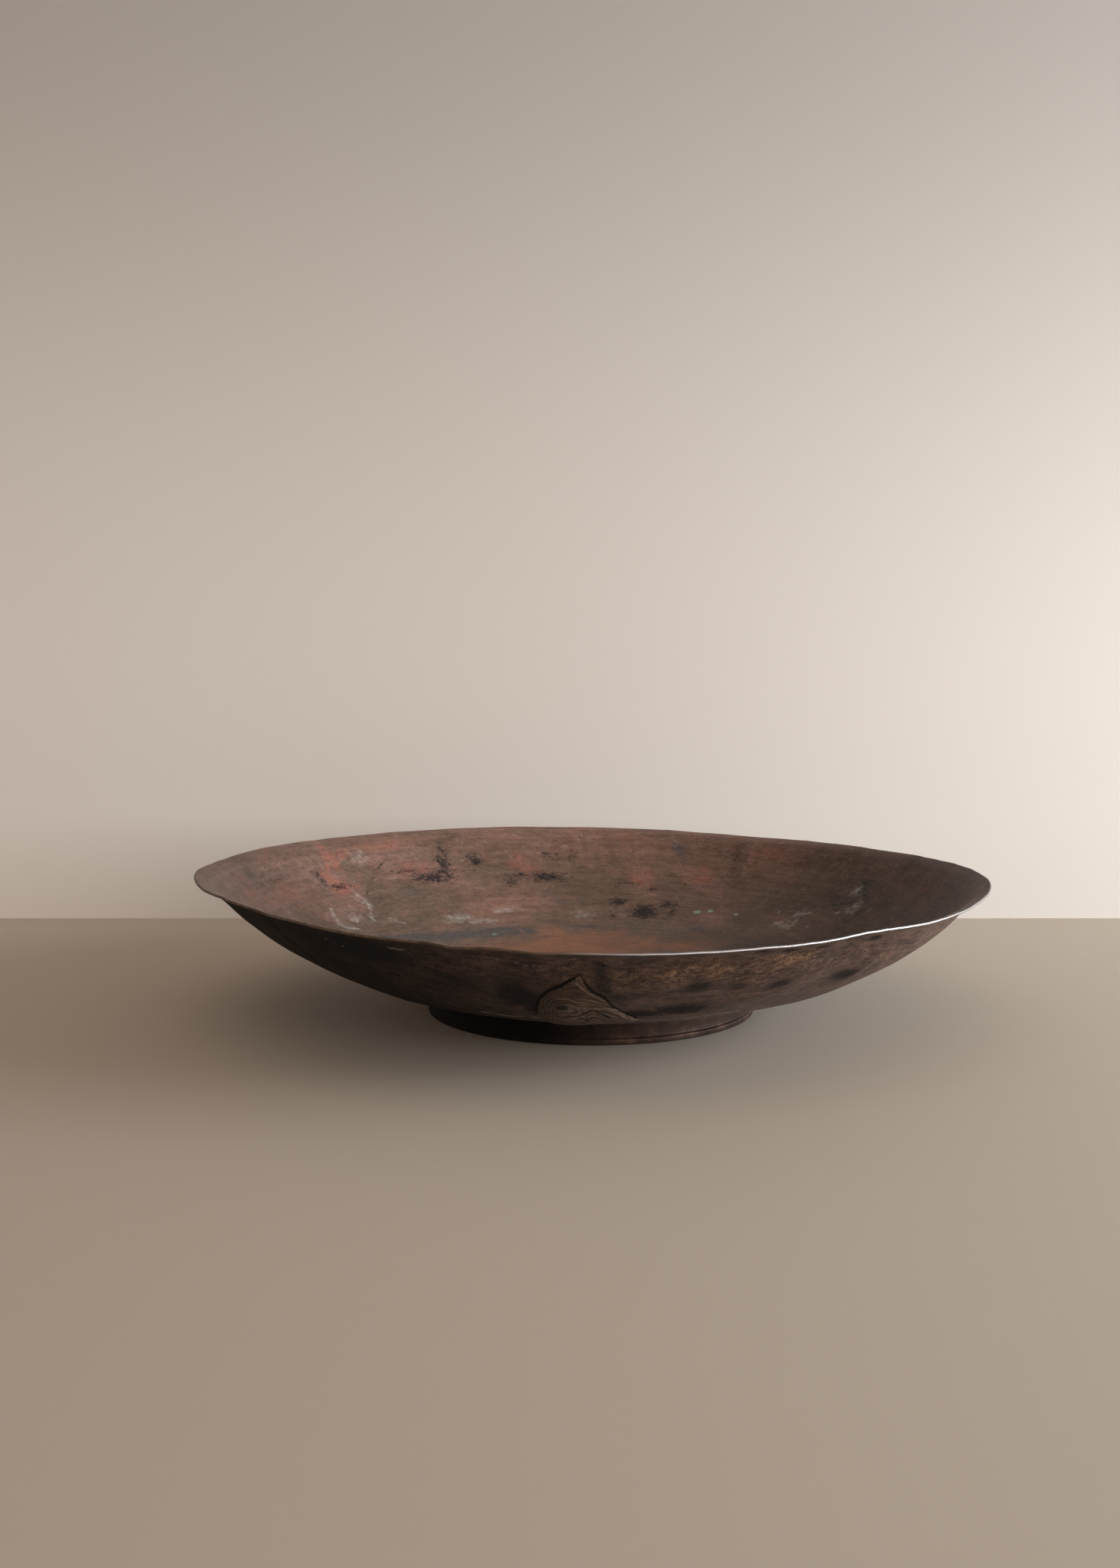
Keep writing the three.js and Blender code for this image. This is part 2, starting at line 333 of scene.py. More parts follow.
def noise(points, size, seed):
    """Smooth noise from -1 to 1, with lumps about size across."""
    place = np.asarray(points, float) / size
    cell = np.floor(place)
    inside = place - cell
    inside = inside * inside * (3 - 2 * inside)
    total = np.zeros(place.shape[:-1])
    for corner in itertools.product((0, 1), repeat=3):
        weight = np.prod(np.where(corner, inside, 1 - inside), axis=-1)
        total += weight * lattice(cell + corner, seed)
    return 2 * total - 1


def layered(points, layers):
    """Several noises added up."""
    return sum(height * noise(points, size, seed) for height, size, seed in layers)


def hollows(points, size, seed):
    """Hammer marks: 0 in the middle of each mark, rising to about 1 where marks meet."""
    place = points / size
    cell = np.floor(place)
    nearest = np.full(place.shape[:-1], 9.0)
    for corner in itertools.product((-1, 0, 1), repeat=3):
        other = cell + corner
        middle = other + np.stack([lattice(other, seed + axis) for axis in range(3)], -1)
        nearest = np.minimum(nearest, ((place - middle) ** 2).sum(-1))
    return np.clip(nearest, 0, 1)


def spline(points, steps):
    """A smooth curve through points."""
    points = np.asarray(points, float)
    last = len(points) - 1
    place = np.linspace(0, last, steps)
    index = np.minimum(place.astype(int), last - 1)
    share = (place - index)[:, None]
    before, start = points[np.maximum(index - 1, 0)], points[index]
    end, after = points[index + 1], points[np.minimum(index + 2, last)]
    leave, arrive = (end - before) / 2, (after - start) / 2
    cubic = 2 * start - 2 * end + leave + arrive
    square = -3 * start + 3 * end - 2 * leave - arrive
    return cubic * share**3 + square * share**2 + leave * share + start


def marks(azimuth, along, radius, spots):
    """How strongly a place is covered by a list of soft oval marks, from 0 to 1."""
    cover = np.zeros(np.shape(azimuth))
    for middle, height, half_width, half_height, strength in spots:
        across = np.radians(turned(azimuth, middle)) * radius / half_width
        up = (along - height) / half_height
        cover = np.maximum(cover, strength * np.exp(-(across**2 + up**2) * 0.7))
    return cover


def strokes(azimuth, along, radius, lines):
    """How strongly a place is covered by a list of drawn-out marks, from 0 to 1."""
    cover = np.zeros(np.shape(azimuth))
    for half_width, strength, places in lines:
        middle, height = places[0]
        degree = math.radians(1) * on_profile(PROFILE[:, 0], height)
        line = spline([(turned(at, middle) * degree, up) for at, up in places], 10)
        across = np.radians(turned(azimuth, middle)) * radius
        away = distance_to_line(across, along, line)
        cover = np.maximum(cover, strength * np.exp(-0.7 * (away / half_width) ** 2))
    return cover


def near_line(u, v, line, half_width):
    """1 on a smooth line through a few points, fading out over its half width."""
    return np.exp(-((distance_to_line(u, v, spline(line, 24)) / half_width) ** 2))


def distance_to_line(u, v, line):
    """The distance from each (u, v) to a line of straight stretches."""
    nearest = np.full(np.shape(u), 1e9)
    for (u0, v0), (u1, v1) in zip(line, line[1:]):
        du, dv = u1 - u0, v1 - v0
        share = np.clip(((u - u0) * du + (v - v0) * dv) / (du * du + dv * dv), 0, 1)
        nearest = np.minimum(nearest, np.hypot(u - u0 - share * du, v - v0 - share * dv))
    return nearest


# ---- The bowl's wall as a surface.


PROFILE = spline(WALL, 4000)
PROFILE_ALONG = np.concatenate([[0], np.cumsum(np.hypot(*np.diff(PROFILE, axis=0).T))])
WALL_LENGTH = PROFILE_ALONG[-1]
PROFILE_TANGENT = np.gradient(PROFILE, PROFILE_ALONG, axis=0)
PROFILE_TANGENT /= np.linalg.norm(PROFILE_TANGENT, axis=1)[:, None]


def on_profile(values, along):
    """What one of the profile's columns holds at a distance along the wall."""
    return np.interp(along, PROFILE_ALONG, values)


def rim_lift(azimuth):
    """How far the rim rises above its mean height."""
    angle = np.radians(azimuth)
    lift = sum(height * np.cos(count * (angle - math.radians(peak))) for count, height, peak in RIM_WAVES)
    lift += sum(height * np.exp(-((turned(azimuth, at) / width) ** 2)) for at, width, height in RIM_BENDS)
    return lift + layered(place_at(azimuth, RIM_RADIUS, 0), RIM_WOBBLE)


def wall_place(azimuth, along, out):
    """The place at an azimuth and distance along the wall, moved out of its outer surface by out."""
    tangent_r = on_profile(PROFILE_TANGENT[:, 0], along)
    tangent_z = on_profile(PROFILE_TANGENT[:, 1], along)
    beyond = np.maximum(along - WALL_LENGTH, 0)
    radius = on_profile(PROFILE[:, 0], along) + tangent_z * out + tangent_r * beyond
    height = on_profile(PROFILE[:, 1], along) - tangent_r * out + tangent_z * beyond
    follow = ease(radius, FOOT_RADIUS, RIM_RADIUS)
    start, end = WALL_SHIFTED
    belly = ease(radius, FOOT_RADIUS, start) * (1 - ease(radius, end, RIM_RADIUS))
    place = place_at(azimuth, radius, height + rim_lift(azimuth) * follow)
    place[..., 0] += WALL_SHIFT * belly
    return place


def sheet_bends(azimuth, along):
    """How far the whole sheet is pushed outwards by dents, flutes and creases."""
    radius = on_profile(PROFILE[:, 0], along)
    push = layered(place_at(azimuth, radius, 0), SHEET_DENTS)
    deep, count, length, seed = FLUTES
    push += deep * noise(place_at(azimuth, count, along / length), 1, seed) * ease(along, 120, 200)
    for at, start, end, half_width, depth in CREASES:
        across = np.radians(turned(azimuth, at)) * radius / half_width
        reach = ease(along, start - 8, start + 8) * (1 - ease(along, end - 4, end + 6))
        push += -depth * np.exp(-(across**2)) * reach
    return push * ease(along, 100, 145) * (1 - 0.7 * ease(along, WALL_LENGTH - 8, WALL_LENGTH))


# ---- Meshes.


def add_object(name, data):
    """Puts an object that holds some data into the scene."""
    thing = bpy.data.objects.new(name, data)
    bpy.context.scene.collection.objects.link(thing)
    return thing


def disc_grid(half):
    """A disc of quads: each vertex's share of the radius and azimuth, the quads, and the rim's loop."""
    steps = np.arange(-half, half + 1)
    a, b = (grid.ravel() / half for grid in np.meshgrid(steps, steps, indexing="ij"))
    share = np.maximum(abs(a), abs(b))
    wide = abs(a) >= abs(b)
    safe_a, safe_b = np.where(a == 0, 1, a), np.where(b == 0, 1, b)
    angle = np.where(wide, 45 * b / safe_a, 90 - 45 * a / safe_b)
    angle = np.where(wide & (a < 0) | ~wide & (b < 0), angle + 180, angle) % 360
    count = 2 * half + 1
    corner = (np.arange(2 * half)[:, None] * count + np.arange(2 * half)[None, :]).ravel()
    quads = np.stack([corner, corner + count, corner + count + 1, corner + 1], -1)
    rim = np.flatnonzero(share > 1 - 1e-9)
    return share, angle, quads, rim[np.argsort(angle[rim])]


def ring_quads(rows):
    """Quads between neighbouring closed loops of vertices. Each row lists one loop's vertices."""
    rows = np.asarray(rows)
    nxt = np.roll(rows, -1, axis=1)
    return np.stack([rows[:-1], nxt[:-1], nxt[1:], rows[1:]], -1).reshape(-1, 4)


def make_piece(name, points, quads, attributes, materials, material_index=None):
    """A smooth mesh piece, in metres, with its named numbers on the vertices and its materials."""
    mesh = bpy.data.meshes.new(name)
    mesh.from_pydata((np.asarray(points) * MM).tolist(), [], np.asarray(quads).tolist())
    for key, values in attributes.items():
        kind, field = ("FLOAT_VECTOR", "vector") if np.ndim(values) == 2 else ("FLOAT", "value")
        layer = mesh.attributes.new(key, kind, "POINT")
        layer.data.foreach_set(field, np.asarray(values, np.float32).ravel())
    for material in materials:
        mesh.materials.append(material)
    if material_index is not None:
        mesh.polygons.foreach_set("material_index", np.asarray(material_index, np.int32))
    mesh.polygons.foreach_set("use_smooth", np.ones(len(mesh.polygons), bool))
    mesh.validate()
    mesh.update()
    return add_object(name, mesh)


def place_piece(piece, node):
    """Rides a piece on the bowl's one body, in the place of its CAD node."""
    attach(piece, "root")
    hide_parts(node)


def polar(azimuth, along):
    """Coordinates for streaks: round the bowl in x and y and along the wall in z, and flat on the floor."""
    reach = np.minimum(along / FLAT_FLOOR, 1)
    return place_at(azimuth, reach, np.maximum(along, FLAT_FLOOR) / WALL_LENGTH)


# ---- Materials.

SPECULAR_LEVEL = 0.2


class Shader:
    """A short way to write a material's nodes, whose colour is built up by tint, shade and vary.

    Values may be numbers, colours or other nodes' outputs.
    """

    def __init__(self, name):
        self.material = bpy.data.materials.new(name)
        self.material.use_nodes = True
        self.tree = self.material.node_tree
        self.tree.nodes.clear()
        self.color = None

    def node(self, kind, inputs=(), **settings):
        """A node of a kind, with its settings and what goes into its inputs."""
        node = self.tree.nodes.new(kind)
        for key, value in settings.items():
            setattr(node, key, value)
        for key, value in dict(inputs).items():
            self.give(node.inputs[key], value)
        return node

    def give(self, socket, value):
        if isinstance(value, bpy.types.NodeSocket):
            self.tree.links.new(value, socket)
        elif isinstance(value, tuple) and socket.type == "RGBA":
            socket.default_value = (*value, 1)
        else:
            socket.default_value = value

    def number(self, name):
        """One of the named numbers on the piece's vertices."""
        return self.node("ShaderNodeAttribute", attribute_name=name).outputs["Fac"]

    def times(self, vector, sizes):
        return self.node("ShaderNodeVectorMath", {0: vector, 1: sizes}, operation="MULTIPLY").outputs[0]

    def stretched(self, name, sizes):
        """One of the named vectors on the piece's vertices, stretched by sizes."""
        return self.times(self.node("ShaderNodeAttribute", attribute_name=name).outputs["Vector"], sizes)

    def place(self, sizes=(1, 1, 1)):
        """The place on the bowl, measured in units of so many millimetres each way."""
        place = self.node("ShaderNodeTexCoord").outputs["Object"]
        return self.times(place, tuple(1 / (size * MM) for size in sizes))

    def noise(self, vector, size, detail, roughness, warp=0):
        """A noise from 0 to 1, with lumps about size across."""
        inputs = {"Vector": vector, "Scale": 1 / size, "Detail": detail, "Roughness": roughness}
        return self.node("ShaderNodeTexNoise", {**inputs, "Distortion": warp}).outputs["Fac"]

    def streaks(self, turns, rows, detail, roughness, warp):
        """A noise drawn out round the bowl: how many lumps fit round it and how many up its wall."""
        vector = self.stretched("polar", (turns, turns, rows))
        return self.noise(vector, 1, detail, roughness, warp)

    def math(self, operation, a, b):
        return self.node("ShaderNodeMath", {0: a, 1: b}, operation=operation).outputs[0]

    def add(self, a, b):
        return self.math("ADD", a, b)

    def most(self, a, b):
        return self.math("MAXIMUM", a, b)

    def share(self, a, b):
        return self.math("MULTIPLY", a, b)

    def step(self, value, start, end, low=0, high=1):
        """A smooth step from low at start to high at end."""
        inputs = {"Value": value, "From Min": start, "From Max": end, "To Min": low, "To Max": high}
        return self.node("ShaderNodeMapRange", inputs, interpolation_type="SMOOTHSTEP").outputs["Result"]

    def mix(self, share, a, b):
        """A colour that goes from a to b as share goes from 0 to 1."""
        return self.node("ShaderNodeMix", {0: share, 6: a, 7: b}, data_type="RGBA").outputs[2]

    def blend(self, share, a, b):
        """A number that goes from a to b as share goes from 0 to 1."""
        return self.node("ShaderNodeMix", {0: share, 2: a, 3: b}, data_type="FLOAT").outputs[0]

    def tint(self, share, color):
        """Covers the colour with another, by a share from 0 to 1."""
        self.color = self.mix(share, self.color, color)

    def shade(self, amount):
        """Makes the colour lighter or darker by a factor."""
        node = self.node("ShaderNodeVectorMath", {0: self.color, 3: amount}, operation="SCALE")
        self.color = node.outputs[0]

    def vary(self, grain, start, end, low, high):
        """Shades the colour from low to high as a noise goes from start to end."""
        self.shade(self.step(grain, start, end, low, high))

    def broken(self, name, grain, rough, low, high):
        """A mark whose soft edge is broken into fragments by a noise."""
        spread = self.share(self.add(grain, -0.5), rough)
        return self.step(self.add(self.share(self.number(name), 1.5), spread), low, high)

    def bump(self, height, depth):
        """A bump of the given depth in millimetres."""
        return self.node("ShaderNodeBump", {"Height": height, "Distance": depth * MM}).outputs[0]

    def finish(self, metallic, roughness, normal):
        """Puts the colour and the rest on a surface, and gives back the material."""
        inputs = {"Base Color": self.color, "Metallic": metallic, "Roughness": roughness, "Normal": normal}
        surface = self.node("ShaderNodeBsdfPrincipled", {**inputs, "Specular IOR Level": SPECULAR_LEVEL})
        self.node("ShaderNodeOutputMaterial", {"Surface": surface.outputs[0]})
        return self.material


def brushing(s, length, width):
    """A noise drawn out in straight lines along X, as from scouring."""
    return s.noise(s.place((length, width, width / 0.3)), 1, 4, 0.6, 0.4)


def inside_patina(s, cloud, patches, grime, lines):
    """The inside's colour before its marks: pink-brown clouds, scoured towards the left and right ends."""
    ends = s.number("ends")
    s.color = s.mix(s.step(cloud, 0.38, 0.62), (0.175, 0.122, 0.09), (0.3, 0.178, 0.148))
    s.tint(s.step(patches, 0.44, 0.66, 0, 0.75), (0.165, 0.123, 0.095))
    s.tint(s.step(patches, 0.5, 0.28, 0, 0.5), (0.32, 0.185, 0.155))
    s.tint(s.step(s.number("along"), 185, 235, 0, 0.35), (0.29, 0.165, 0.135))
    scoured = s.share(s.step(lines, 0.45, 0.72), s.step(ends, 0, 1, 0.2, 0.45))
    s.tint(scoured, (0.33, 0.26, 0.225))
    furrows = s.share(s.step(lines, 0.46, 0.3), s.step(ends, 0, 1, 0.08, 0.4))
    s.tint(furrows, (0.1, 0.07, 0.055))
    s.tint(s.step(grime, 0.5, 0.66, 0, 0.5), (0.1, 0.08, 0.068))
    s.tint(s.step(grime, 0.46, 0.34, 0, 0.4), (0.36, 0.22, 0.18))
    s.tint(s.step(s.number("along"), 150, 132, 0, 0.6), (0.15, 0.12, 0.1))


def copper_inside():
    """Muted pink-brown copper with stains, chalky scuffs and a warm floor that is partly worn and partly a
    painted reflection.
    """
    s = Shader("copper_inside")
    place = s.place()
    cloud = s.noise(place, 60, 4, 0.6, 0.8)
    patches = s.streaks(9, 14, 5, 0.65, 0.6)
    flecks = s.streaks(45, 110, 5, 0.7, 0.5)
    fine = s.noise(place, 4, 5, 0.7, 0.4)
    tiny = s.noise(place, 0.9, 3, 0.65)
    grime = s.streaks(16, 62, 6, 0.72, 0.7)
    lines = brushing(s, 26, 1.6)

    inside_patina(s, cloud, patches, grime, lines)
    # Warm disc and patches, partly wear and partly a painted reflection.
    ragged = s.add(s.share(patches, 1.6), s.share(cloud, 1.8))
    wear_and_reflection = s.add(s.number("wear_and_reflection"), s.add(ragged, -1.7))
    s.tint(s.step(wear_and_reflection, 0.1, 1.1, 0, 0.9), (0.355, 0.168, 0.1))
    s.tint(s.share(s.broken("blue", patches, 2.6, 0.3, 1.1), 0.8), (0.098, 0.1, 0.107))
    red = s.share(s.broken("red", patches, 4, 0.2, 1.4), s.step(grime, 0.36, 0.56, 0.15, 1))
    s.tint(s.share(red, 0.7), (0.45, 0.18, 0.14))
    # Painted light and shade: lighter on the left, darker on the right where the wall turns from the light.
    s.shade(s.number("painted_shading"))
    bands = s.streaks(5, 60, 5, 0.65, 0.5)
    s.vary(bands, 0.36, 0.66, 0.88, 1.13)
    s.vary(flecks, 0.3, 0.7, 0.88, 1.13)
    s.vary(fine, 0.28, 0.75, 0.88, 1.16)
    s.vary(tiny, 0.3, 0.7, 0.85, 1.17)
    pale = s.broken("pale", fine, 3.4, 0.1, 1.8)
    s.tint(s.share(pale, s.step(tiny, 0.35, 0.6, 0.35, 0.75)), (0.4, 0.4, 0.38))
    green = s.broken("green", tiny, 1.2, 0.5, 0.8)
    s.tint(s.share(green, 0.8), (0.25, 0.36, 0.31))
    mottle = s.add(s.share(flecks, 0.45), s.share(fine, 0.25))
    mottle = s.add(mottle, s.share(s.noise(place, 1.8, 3, 0.6), 0.3))
    black = s.broken("black", mottle, 7, 0.1, 1.25)
    pits = s.share(s.step(flecks, 0.64, 0.72), s.step(patches, 0.5, 0.6))
    black = s.most(black, s.share(pits, 0.15))
    s.tint(s.share(black, s.step(fine, 0.3, 0.6, 0.7, 0.95)), (0.022, 0.021, 0.025))
    grit = s.share(s.step(tiny, 0.68, 0.73), s.step(fine, 0.5, 0.6))
    s.tint(s.share(grit, 0.5), (0.6, 0.55, 0.5))

    dull = s.most(pale, green)
    metallic = s.blend(dull, s.step(s.number("painted_shading"), 0.25, 0.6, 0.2, 0.7), 0.05)
    roughness = s.step(fine, 0.2, 0.8, 0.42, 0.6)
    # Soot marks and painted shade both make the surface rougher and less metallic.
    soot_and_shaded = s.most(black, s.step(s.number("painted_shading"), 0.7, 0.3, 0, 0.6))
    roughness = s.blend(s.most(dull, soot_and_shaded), roughness, 0.7)
    relief = s.add(s.share(fine, 0.6), s.share(tiny, 0.2))
    relief = s.add(relief, s.share(lines, s.step(s.number("ends"), 0, 1, 0.15, 0.6)))
    relief = s.add(relief, s.share(pale, 0.3))
    return s.finish(metallic, roughness, s.bump(relief, 0.2))


def copper_outside():
    """Near-black fired copper, gold-brown on the front, partly rubbed and partly a painted highlight, with
    hammer speckle, partly painted glints, and scratches.
    """
    s = Shader("copper_outside")
    place = s.place()
    cloud = s.noise(place, 44, 4, 0.6, 0.6)
    flecks = s.streaks(42, 130, 5, 0.7, 0.5)
    patches = s.streaks(11, 22, 5, 0.65, 0.6)
    fine = s.noise(place, 3.6, 5, 0.7, 0.5)
    tiny = s.noise(place, 0.9, 4, 0.7)
    lines = brushing(s, 22, 1.3)
    grime = s.streaks(15, 75, 6, 0.72, 0.7)
    ends = s.number("ends")

    s.color = s.mix(s.step(patches, 0.36, 0.66), (0.105, 0.067, 0.058), (0.18, 0.113, 0.092))
    s.tint(s.step(grime, 0.48, 0.66, 0, 0.75), (0.04, 0.03, 0.028))
    scoured = s.share(s.step(lines, 0.48, 0.74), s.step(ends, 0, 1, 0.25, 0.5))
    s.tint(scoured, (0.27, 0.2, 0.155))
    s.tint(s.step(lines, 0.46, 0.28, 0, 0.6), (0.03, 0.022, 0.018))
    # Gold-brown, partly rubbed copper and partly a painted highlight.
    gold_and_highlight = s.broken("gold_and_highlight", grime, 5, 0.5, 1.3)
    gold_and_highlight = s.share(gold_and_highlight, s.step(patches, 0.4, 0.56, 0.15, 1))
    s.tint(s.share(gold_and_highlight, s.step(fine, 0.35, 0.6, 0.2, 0.8)), (0.3, 0.18, 0.108))
    s.vary(flecks, 0.3, 0.7, 0.6, 1.4)
    # Painted glints: bright specks of hammer speckle in the gold-brown parts.
    painted_glints = s.share(s.step(flecks, 0.45, 0.58), s.step(s.number("gold_and_highlight"), 0.1, 0.7))
    painted_glints = s.share(s.step(tiny, 0.56, 0.66), painted_glints)
    s.tint(s.share(painted_glints, 0.6), (0.62, 0.43, 0.28))
    # Painted light and shade: near black on the left, lighter on the front right.
    s.shade(s.number("painted_shading"))
    s.vary(fine, 0.28, 0.75, 0.62, 1.38)
    s.vary(tiny, 0.3, 0.72, 0.68, 1.36)
    mottle = s.add(s.share(flecks, 0.5), s.share(fine, 0.5))
    black = s.broken("black", mottle, 4.4, 0.2, 1.1)
    s.tint(s.share(black, 0.9), (0.007, 0.007, 0.009))
    pale = s.share(s.broken("pale", tiny, 3, 0.7, 0.95), s.step(flecks, 0.5, 0.6, 0.25, 1))
    s.tint(s.share(pale, 0.75), (0.5, 0.45, 0.4))

    # Soot marks and painted shade both make the surface dull.
    soot_and_shaded = s.most(black, s.step(s.number("painted_shading"), 0.75, 0.3))
    metallic = s.blend(soot_and_shaded, s.step(cloud, 0.3, 0.7, 0.6, 0.85), 0)
    roughness = s.blend(soot_and_shaded, s.step(fine, 0.2, 0.8, 0.38, 0.58), 0.85)
    relief = s.add(s.share(fine, 0.6), s.share(tiny, 0.35))
    relief = s.add(relief, s.share(lines, s.step(ends, 0, 1, 0.25, 0.8)))
    return s.finish(metallic, roughness, s.bump(relief, 0.25))


def copper_edge():
    """The cut edge of the sheet: brown, and along the front right worn and painted near-white as a highlight.
    """
    s = Shader("copper_edge")
    place = s.place()
    fine = s.noise(place, 3, 4, 0.6)
    long = s.noise(place, 14, 3, 0.6)
    polish_and_highlight = s.share(s.number("polish_and_highlight"), s.step(fine, 0.25, 0.5, 0.6, 1))
    s.color = s.mix(s.step(long, 0.35, 0.65), (0.055, 0.038, 0.028), (0.14, 0.095, 0.066))
    # Painted highlight: the worn edge tinted near-white and made metallic where it catches the window.
    s.tint(polish_and_highlight, (0.62, 0.62, 0.66))
    roughness = s.blend(polish_and_highlight, 0.5, 0.32)
    return s.finish(s.blend(polish_and_highlight, 0.5, 1), roughness, s.bump(fine, 0.08))


def foot_copper():
    """Dark red-brown copper, brighter on the bead, partly rubbed and partly a painted highlight."""
    s = Shader("foot_copper")
    place = s.place()
    cloud = s.noise(place, 22, 4, 0.6, 0.5)
    fine = s.noise(place, 3, 5, 0.65, 0.4)
    bands = s.streaks(6, 160, 4, 0.6, 0.3)
    s.color = s.mix(s.step(cloud, 0.35, 0.65), (0.075, 0.042, 0.032), (0.14, 0.08, 0.06))
    s.tint(s.step(bands, 0.5, 0.75, 0, 0.5), (0.19, 0.12, 0.09))
    # The bead's lighter line: partly wear, partly a painted highlight along its top.
    worn_and_highlight = s.share(s.number("bead"), s.step(cloud, 0.4, 0.6))
    s.tint(s.share(worn_and_highlight, 0.5), (0.3, 0.17, 0.11))
    # Painted shade: near black on the foot's left, where its shadow falls.
    s.shade(s.number("painted_shading"))
    s.vary(fine, 0.25, 0.8, 0.7, 1.25)
    roughness = s.step(s.number("painted_shading"), 0.1, 0.4, 0.85, 0.5)
    metallic = s.step(s.number("painted_shading"), 0.1, 0.4, 0, 0.6)
    return s.finish(metallic, roughness, s.bump(fine, 0.16))


def old_solder():
    """Dull grey solder with brown stains."""
    s = Shader("old_solder")
    place = s.place()
    cloud = s.noise(place, 9, 4, 0.6, 0.5)
    fine = s.noise(place, 1.6, 4, 0.6)
    s.color = s.mix(s.step(cloud, 0.35, 0.65), (0.2, 0.18, 0.165), (0.11, 0.075, 0.055))
    s.vary(fine, 0.25, 0.75, 0.8, 1.2)
    return s.finish(0.8, s.step(fine, 0.2, 0.8, 0.4, 0.6), s.bump(fine, 0.12))


def patch_copper():
    """Worn brown copper with drawn-out ridges, blackened hollows and a painted highlight along its fold."""
    s = Shader("patch_copper")
    place = s.place()
    cloud = s.noise(place, 9, 4, 0.6, 0.5)
    fine = s.noise(place, 1.8, 5, 0.7, 0.4)
    tiny = s.noise(place, 0.6, 3, 0.65)
    lines = s.noise(s.stretched("flow", (6, 0.9, 0.9)), 1, 4, 0.65, 0.25)
    ridge = s.add(s.share(s.number("ridge"), 0.5), s.share(lines, 1.2))
    s.color = s.mix(s.step(cloud, 0.35, 0.7), (0.085, 0.055, 0.04), (0.18, 0.105, 0.066))
    s.tint(s.step(ridge, 0.93, 1.12, 0, 0.75), (0.27, 0.21, 0.165))
    s.tint(s.step(ridge, 0.88, 0.6, 0, 0.95), (0.014, 0.011, 0.01))
    s.vary(tiny, 0.3, 0.7, 0.7, 1.3)
    # Painted highlight along the fold and along the band under the tongue's lip.
    fold_and_highlight = s.share(s.number("fold_and_highlight"), s.step(fine, 0.35, 0.6, 0.15, 0.75))
    s.tint(fold_and_highlight, (0.38, 0.3, 0.24))
    # Painted light and shade, as on the wall round the patch.
    s.shade(s.number("painted_shading"))
    s.tint(s.broken("soot", fine, 1.8, 0.5, 0.9), (0.012, 0.011, 0.011))
    roughness = s.step(fine, 0.2, 0.8, 0.4, 0.58)
    relief = s.add(s.share(fine, 0.5), lines)
    return s.finish(0.75, roughness, s.bump(relief, 0.16))


def plain_stage(name, color, fades):
    """A plain surface that is seen, and casts shade, only from its front. A wall can darken towards its top as
    painted shade.
    """
    s = Shader(name)
    if fades:
        # Painted shade, darker towards the wall's top.
        low, high, darkest = BACKDROP_PAINTED_SHADE
        height = s.node("ShaderNodeSeparateXYZ", {0: s.place()}).outputs[2]
        color = s.mix(s.step(height, low, high), color, tuple(darkest * value for value in color))
    surface = s.node("ShaderNodeBsdfPrincipled", {"Base Color": color, "Roughness": 0.85})
    behind = s.node("ShaderNodeNewGeometry").outputs["Backfacing"]
    clear = s.node("ShaderNodeBsdfTransparent")
    shown = s.node("ShaderNodeMixShader", {0: behind, 1: surface.outputs[0], 2: clear.outputs[0]})
    s.node("ShaderNodeOutputMaterial", {"Surface": shown.outputs[0]})
    return s.material


# ---- The pieces.


def patch_stain(azimuth, along, radius):
    """The thin black line of dirt on the bowl round the patch's left side, from 0 to 1."""
    across = np.radians(turned(azimuth, -90)) * radius
    edge = distance_to_line(across, along, spline([*PATCH_OUTLINE, PATCH_OUTLINE[0]], 120))
    width = 0.5 + 0.3 * ease(-across, 4, 12)
    stain = np.exp(-((edge / width) ** 2)) * ease(along, 165, 180) * ease(-across, -6, -2)
    return stain * (abs(across) < 60)


def side_numbers(azimuth, along, radius, inside):
    """The named numbers that one side's material reads: its marks and its painted light and shade."""
    spots, lines = (INSIDE_SPOTS, INSIDE_STROKES) if inside else (OUTSIDE_SPOTS, OUTSIDE_STROKES)
    numbers = {}
    for key in ("black", "pale", "red", "blue", "green", "wear_and_reflection", "gold_and_highlight"):
        covered = marks(azimuth, along, radius, spots.get(key, []))
        numbers[key] = np.maximum(covered, strokes(azimuth, along, radius, lines.get(key, [])))
    if inside:
        start, end, strength = FLOOR_WEAR_AND_REFLECTION
        numbers["wear_and_reflection"] = np.maximum(numbers["wear_and_reflection"], strength * ease(along, end, start))
    else:
        numbers["black"] = np.maximum(numbers["black"], patch_stain(azimuth, along, radius))
    # Painted light and shade round the bowl, with a fixed painted factor on the floor.
    painted_shadings = INSIDE_PAINTED_SHADING if inside else OUTSIDE_PAINTED_SHADING
    on_wall = ease(along, 40, 140)
    painted_shading = np.interp(azimuth, *zip(*painted_shadings), period=360)
    numbers["painted_shading"] = painted_shading * on_wall + FLOOR_PAINTED_SHADING * (1 - on_wall)
    numbers["ends"] = ease(abs(np.cos(np.radians(azimuth))), 0.6, 0.95) * on_wall
    numbers["along"] = along
    numbers["polar"] = polar(azimuth, along)
    return numbers


def bowl_side(azimuth, along, inside):
    """One side of the sheet: its places, hammered and bent, and the numbers of its material."""
    bends = sheet_bends(azimuth, along)
    face = SHEET if inside else 0
    size, depth, seed = INSIDE_HAMMER if inside else OUTSIDE_HAMMER
    ridge = hollows(wall_place(azimuth, along, bends - face), size, seed)
    fade = depth * ease(along, 20, 90) * (1 - 0.8 * ease(along, WALL_LENGTH - 10, WALL_LENGTH))
    beaten = ridge if inside else 1 - ridge
    places = wall_place(azimuth, along, bends - face - beaten * fade)
    radius = on_profile(PROFILE[:, 0], along)
    return places, side_numbers(azimuth, along, radius, inside)


